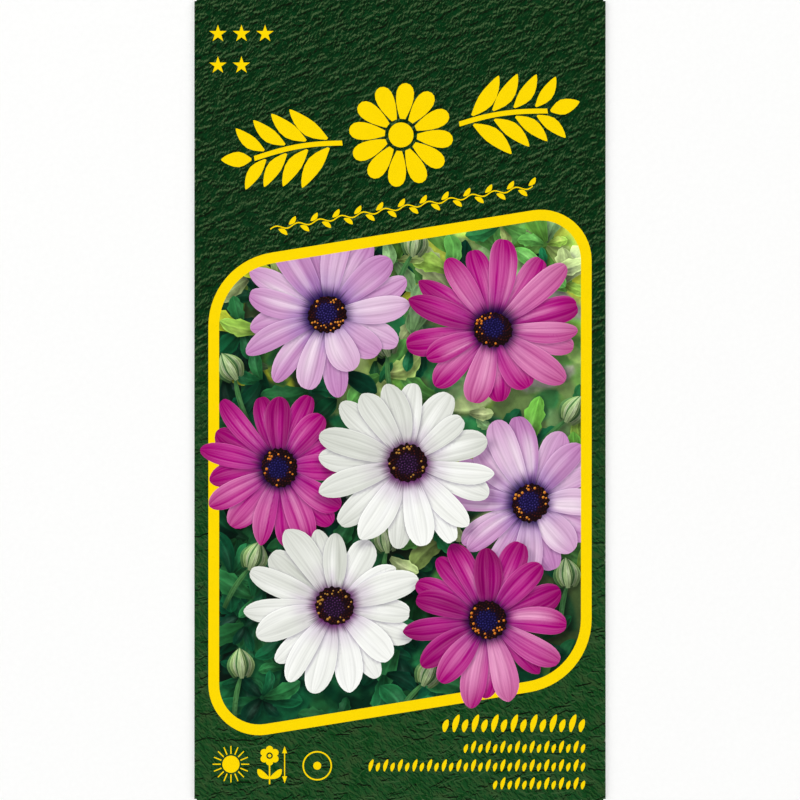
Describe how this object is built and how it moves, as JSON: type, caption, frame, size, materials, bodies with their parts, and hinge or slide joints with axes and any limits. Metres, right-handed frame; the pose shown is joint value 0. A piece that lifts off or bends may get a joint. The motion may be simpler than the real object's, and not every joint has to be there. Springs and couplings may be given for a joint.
{
  "type": "flower seed packet",
  "caption": "Flat glued paper envelope printed with daisy-like flowers, holding a heat-sealed foil sachet of loose seeds.",
  "frame": {"origin": "middle of the packet's footprint, on the surface that it lies on", "axes": "+X to the right of the packet's front, +Y to its top edge, +Z out of its front, up from the surface"},
  "size_m": [0.082, 0.16, 0.0042],
  "materials": {
    "printed_paper": "satin",
    "dried_glue": "satin",
    "foil_laminate": "satin",
    "seed_coat": "matte"
  },
  "bodies": {
    "root": {"envelope": "printed_paper", "back_seam_glue": "dried_glue", "bottom_flap_glue": "dried_glue", "top_flap_glue": "dried_glue", "sachet_back_web": "foil_laminate", "sachet_front_web": "foil_laminate", "seed_01": "seed_coat", "seed_02": "seed_coat", "seed_03": "seed_coat", "seed_04": "seed_coat", "seed_05": "seed_coat", "seed_06": "seed_coat", "seed_07": "seed_coat", "seed_08": "seed_coat", "seed_09": "seed_coat", "seed_10": "seed_coat", "seed_11": "seed_coat", "seed_12": "seed_coat", "seed_13": "seed_coat", "seed_14": "seed_coat", "seed_15": "seed_coat"}
  },
  "joints": []
}
